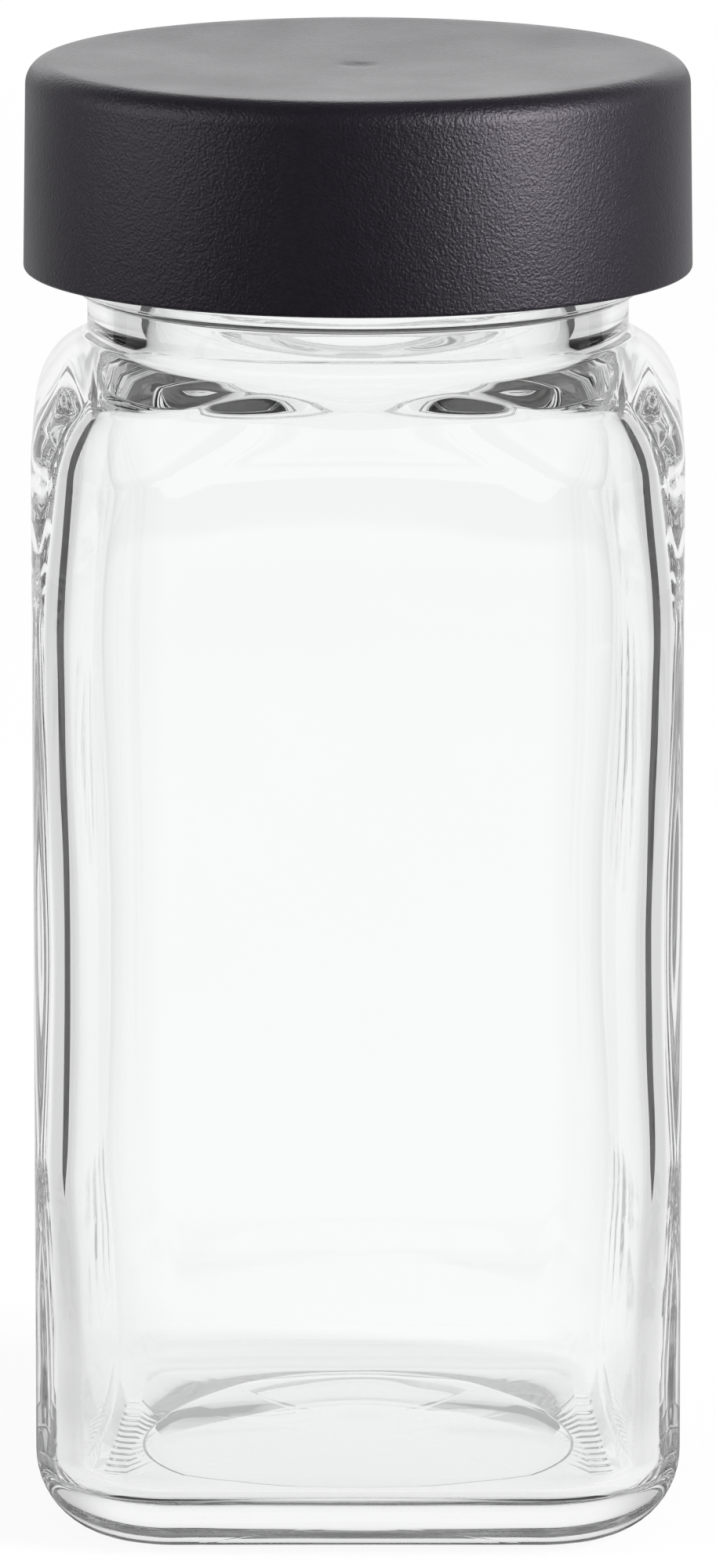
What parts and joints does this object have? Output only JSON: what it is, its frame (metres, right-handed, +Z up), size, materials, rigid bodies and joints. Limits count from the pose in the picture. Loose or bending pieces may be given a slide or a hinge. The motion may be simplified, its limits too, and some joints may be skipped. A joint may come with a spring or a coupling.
{
  "type": "spice jar",
  "caption": "Square glass spice jar with rounded corners and a domed shoulder; a wide round screw cap with a liner turns and rises off the neck.",
  "frame": {"origin": "middle of the base, on the surface that the jar stands on", "axes": "+Z up along the axis of neck and cap; X and Y square to the flat sides of the body"},
  "size_m": [0.052, 0.052, 0.1138],
  "materials": {
    "clear_glass": "clear soda-lime glass, fire-polished outside, slightly wavy inside",
    "black_plastic": "black moulded plastic with a fine spark-eroded grain",
    "white_liner": "white polyethylene foam sheet, skin side down"
  },
  "bodies": {
    "jar": {"glass_jar": "clear_glass"},
    "liner": {"seal_liner": "white_liner"},
    "cap": {"screw_cap": "black_plastic"}
  },
  "joints": [
    {"name": "cap_rise", "type": "slide", "parent": "jar", "child": "liner", "axis": [0, 0, 1], "range_m": [0, 0.019]},
    {"name": "cap_turn", "type": "hinge", "parent": "liner", "child": "cap", "pos_m": [0, 0, 0.1], "axis": [0, 0, 1], "range_deg": [0, 540]}
  ],
  "couplings": [
    {"joint": "cap_rise", "follows": "cap_turn", "m_per_rad": 0.0020054}
  ]
}
